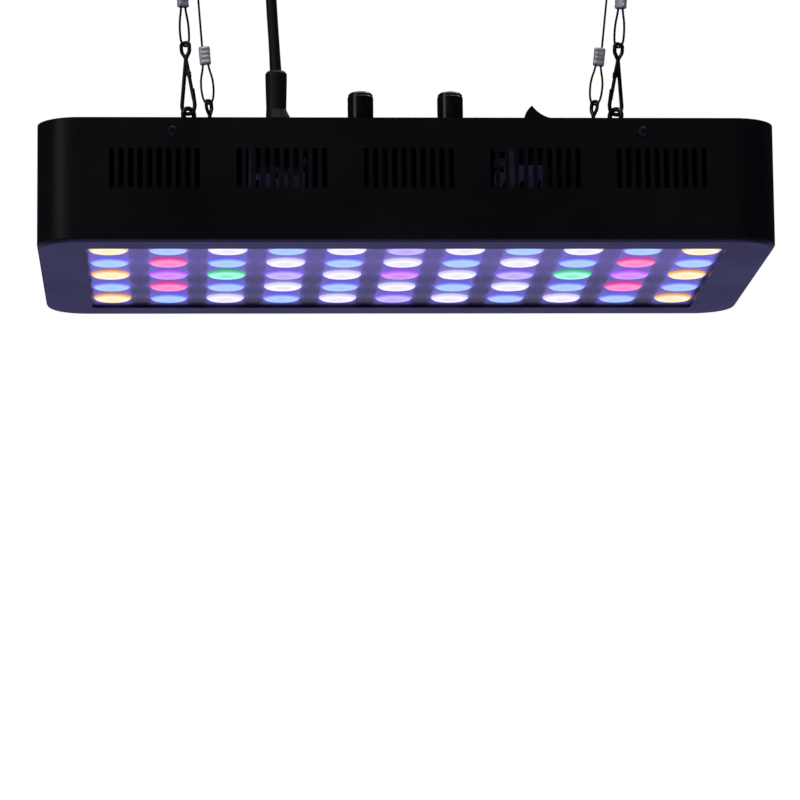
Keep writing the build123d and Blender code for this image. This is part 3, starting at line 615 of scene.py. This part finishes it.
# ---- which material each CAD node gets ----
def node_materials():
    """Every carried-over CAD node, by the material that it wears, and the cord's material on its own."""
    coat = powder_coat()
    knob = grained("knob_plastic_satin", (0.0040, 0.0040, 0.0042), (0.0065, 0.0065, 0.0068), (0.20, 0.30),
                   (2600.0, 0.06, 0.0001), patch=120.0, gloss=0.4)
    inlet = grained("inlet_plastic", (0.010, 0.010, 0.011), (0.018, 0.018, 0.020), (0.30, 0.45),
                    (3000.0, 0.05, 0.0001), patch=150.0)
    fan = grained("fan_plastic_matt", (0.014, 0.014, 0.015), (0.024, 0.024, 0.026), (0.45, 0.6),
                  (2000.0, 0.10, 0.0001))
    rubber = grained("cord_rubber_skin", (0.0045, 0.0045, 0.0048), (0.0080, 0.0080, 0.0085), (0.44, 0.58),
                     (2400.0, 0.14, 0.0001), patch=90.0, gloss=0.3)
    steel = grained("black_nickel_steel", (0.012, 0.011, 0.010), (0.050, 0.041, 0.034), (0.24, 0.42),
                    (1800.0, 0.10, 0.0001), metallic=0.85, patch=160.0)
    plated = grained("plated_steel", (0.45, 0.45, 0.46), (0.62, 0.62, 0.62), (0.22, 0.36),
                     (2200.0, 0.08, 0.0001), metallic=1.0, patch=120.0)
    black_screw = grained("black_oxide", (0.007, 0.007, 0.007), (0.014, 0.014, 0.014), (0.34, 0.5),
                          (2600.0, 0.10, 0.0001), metallic=0.3, gloss=0.3)
    anodised = grained("black_anodised_aluminium", (0.012, 0.012, 0.013), (0.022, 0.022, 0.024),
                       (0.40, 0.55), (500.0, 0.20, 0.0001), metallic=0.3, stretch=(1.0, 0.04, 1.0))
    zinc = grained("zinc_plate", (0.42, 0.43, 0.44), (0.66, 0.66, 0.64), (0.24, 0.40),
                   (1200.0, 0.10, 0.0001), metallic=1.0, patch=200.0)
    brass = grained("blade_metal", (0.55, 0.46, 0.26), (0.74, 0.64, 0.40), (0.20, 0.34),
                    (900.0, 0.10, 0.0001), metallic=1.0, stretch=(0.1, 1.0, 1.0))
    terminal = grained("terminal_plastic", (0.020, 0.020, 0.021), (0.035, 0.035, 0.036), (0.4, 0.55),
                       (1500.0, 0.10, 0.0001))
    emitter = grained("emitter_dome", (0.80, 0.66, 0.20), (0.92, 0.82, 0.40), (0.12, 0.22),
                      (900.0, 0.05, 0.0001), coat=0.5)
    worn = {
        coat: ["lower_housing", "top_cover"],
        knob: ["white_dimmer_knob", "blue_dimmer_knob", "switch_rocker", "switch_body"],
        inlet: ["inlet_socket", "dimmer_pots"],
        fan: ["fan_frame_left", "fan_frame_right", "fan_rotor_left", "fan_rotor_right"],
        rubber: ["power_connector", "connector_strain_relief", "mains_plug"],
        steel: ["eye_bolts", "snap_hook_frames", "gate_rivets", *[f"gate_{name}" for name in CHAINS]],
        plated: ["board_screws", "eye_bolt_nuts", "dimmer_nuts",
                 "white_dimmer_shaft", "blue_dimmer_shaft"],
        black_screw: ["cover_screws", "fan_screws", "inlet_screws", "fan_guard_left", "fan_guard_right"],
        anodised: ["heat_sink", "white_driver", "blue_driver"],
        zinc: ["ceiling_hooks"],
        brass: ["inlet_pins", "mains_plug_pins"],
        lit_gasket(): ["panel_gasket"],
        terminal: ["terminal_block"],
        emitter: ["led_emitters"],
        circuit_board(): ["led_board"],
        panel_material(): ["lens_plate"],
    }
    for colour_name, shades in LENS_COLOURS.items():
        worn[lens_material(colour_name, *shades)] = [f"lenses_{colour_name}"]
    return worn, rubber


def dress(worn):
    """Puts each material into its CAD nodes' material slots."""
    for material, node_names in worn.items():
        for node_name in node_names:
            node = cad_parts[node_name]
            if not node.material_slots:
                node.data.materials.append(material)
            for slot in node.material_slots:
                slot.material = material


# ---- studio ----
def make_world():
    """White for the camera; otherwise a dim room, violet below and stronger toward the back."""
    world = bpy.data.worlds.new("studio")
    world.use_nodes = True
    bpy.context.scene.world = world
    tree = world.node_tree
    tree.nodes.clear()
    direction = add(tree, "ShaderNodeTexCoord").outputs["Generated"]
    split = add(tree, "ShaderNodeSeparateXYZ", {0: direction})
    upward = map_range(tree, split.outputs[2], -1.0, 1.0)
    behind = map_range(tree, split.outputs[1], -0.6, 0.3, 0.35, 1.0)
    room = ramp(tree, upward, [
        (0.00, (0.17, 0.16, 0.37)), (0.44, (0.37, 0.345, 0.83)), (0.50, (0.016, 0.016, 0.020)),
        (0.58, (0.012, 0.012, 0.012)), (1.00, (0.10, 0.10, 0.10)),
    ])
    seen = add(tree, "ShaderNodeLightPath").outputs["Is Camera Ray"]
    backdrop = add(tree, "ShaderNodeBackground", {"Color": (1.0, 1.0, 1.0, 1.0), "Strength": 1.0})
    dim = add(tree, "ShaderNodeBackground", {"Color": room, "Strength": behind})
    mixed = add(tree, "ShaderNodeMixShader", {0: seen, 1: dim.outputs[0], 2: backdrop.outputs[0]})
    add(tree, "ShaderNodeOutputWorld", {"Surface": mixed.outputs[0]})


def area_light(name, place, size, power, colour=(1.0, 1.0, 1.0)):
    """A soft oblong light at place that faces the middle of the cover."""
    data = bpy.data.lights.new(name, "AREA")
    data.shape = "RECTANGLE"
    data.size, data.size_y = size
    data.energy = power
    data.color = colour
    light = link(name, data)
    light.location = place
    toward_middle = Vector((0.0, 0.0, 0.0)) - Vector(place)
    light.rotation_euler = toward_middle.to_track_quat("-Z", "Y").to_euler()


def make_floor():
    """A plain pale floor, far below, so that the underside can be seen from any side."""
    half, height = 6.0, -3.2
    corners = [(-half, -half, height), (half, -half, height), (half, half, height), (-half, half, height)]
    floor = mesh_piece("studio_floor", corners, [(0, 1, 2, 3)])
    material, _, shader = new_material("pale_floor")
    shader.inputs["Base Color"].default_value = (0.70, 0.70, 0.69, 1.0)
    shader.inputs["Roughness"].default_value = 0.8
    shader.inputs["Emission Color"].default_value = (0.62, 0.62, 0.62, 1.0)
    shader.inputs["Emission Strength"].default_value = 1.0
    floor.data.materials.append(material)
    floor.visible_glossy = False
    floor.visible_diffuse = False


make_camera()
materials, rubber_skin = node_materials()
rope_metal = grained("rope_metal", (0.010, 0.009, 0.009), (0.030, 0.027, 0.025), (0.34, 0.50),
                     (3000.0, 0.08, 0.0001), metallic=0.8, patch=300.0)
sleeve_metal = grained("sleeve_metal", (0.52, 0.52, 0.51), (0.72, 0.72, 0.70), (0.38, 0.54),
                       (1600.0, 0.16, 0.0001), metallic=0.5, patch=260.0)

strap = make_cord_tie(woven_strap())
make_power_cord(rubber_skin)
for chain_name, chain_facts in CHAINS.items():
    pair = make_sleeves(chain_name, chain_facts, sleeve_metal)
    make_rope(chain_name, chain_facts, rope_metal)

dress(materials)
make_world()
make_floor()
area_light("key_left_front", (-2.6, -1.9, 0.5), (0.9, 1.6), 10.0)
area_light("tank_glow", (0.0, -0.2, -1.3), (1.2, 0.8), 10.0, (0.42, 0.38, 1.0))
area_light("top_soft", (0.2, 0.3, 2.2), (2.4, 1.6), 18.0)
area_light("front_high", (-0.7, -2.1, 2.5), (1.6, 1.0), 30.0)
area_light("rear_right", (1.5, 1.5, 2.6), (1.2, 1.2), 12.0)
bpy.context.scene.view_settings.view_transform = "Standard"
